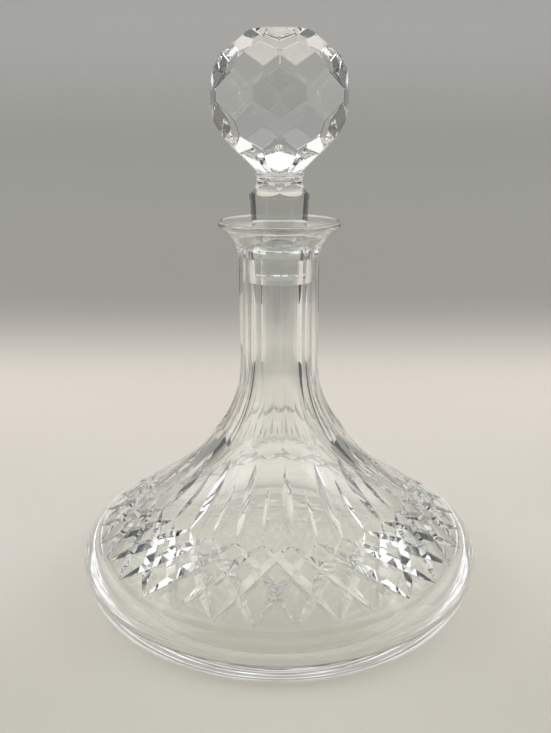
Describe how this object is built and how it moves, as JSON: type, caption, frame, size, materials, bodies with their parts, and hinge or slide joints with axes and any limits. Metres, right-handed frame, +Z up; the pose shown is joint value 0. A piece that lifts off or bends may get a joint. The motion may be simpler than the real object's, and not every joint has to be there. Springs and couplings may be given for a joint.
{
  "type": "ships decanter",
  "caption": "Wide-based cut-glass ships decanter with a fluted neck, a diamond-cut skirt and a faceted ball stopper that lifts out.",
  "frame": {"origin": "centre of the foot, on the surface the decanter stands on", "axes": "+Z up along the axis of the bottle, -Y towards the front"},
  "size_m": [0.1905, 0.1904, 0.2528],
  "materials": {
    "clear_crystal": "clear, fire-polished and cut",
    "stopper_crystal": "clear, polished facets"
  },
  "bodies": {
    "decanter": {"decanter_body": "clear_crystal"},
    "stopper": {"stopper": "stopper_crystal"}
  },
  "joints": [
    {"name": "stopper_lift", "type": "slide", "parent": "decanter", "child": "stopper", "axis": [0, 0, 1], "range_m": [0, 0.06]}
  ]
}
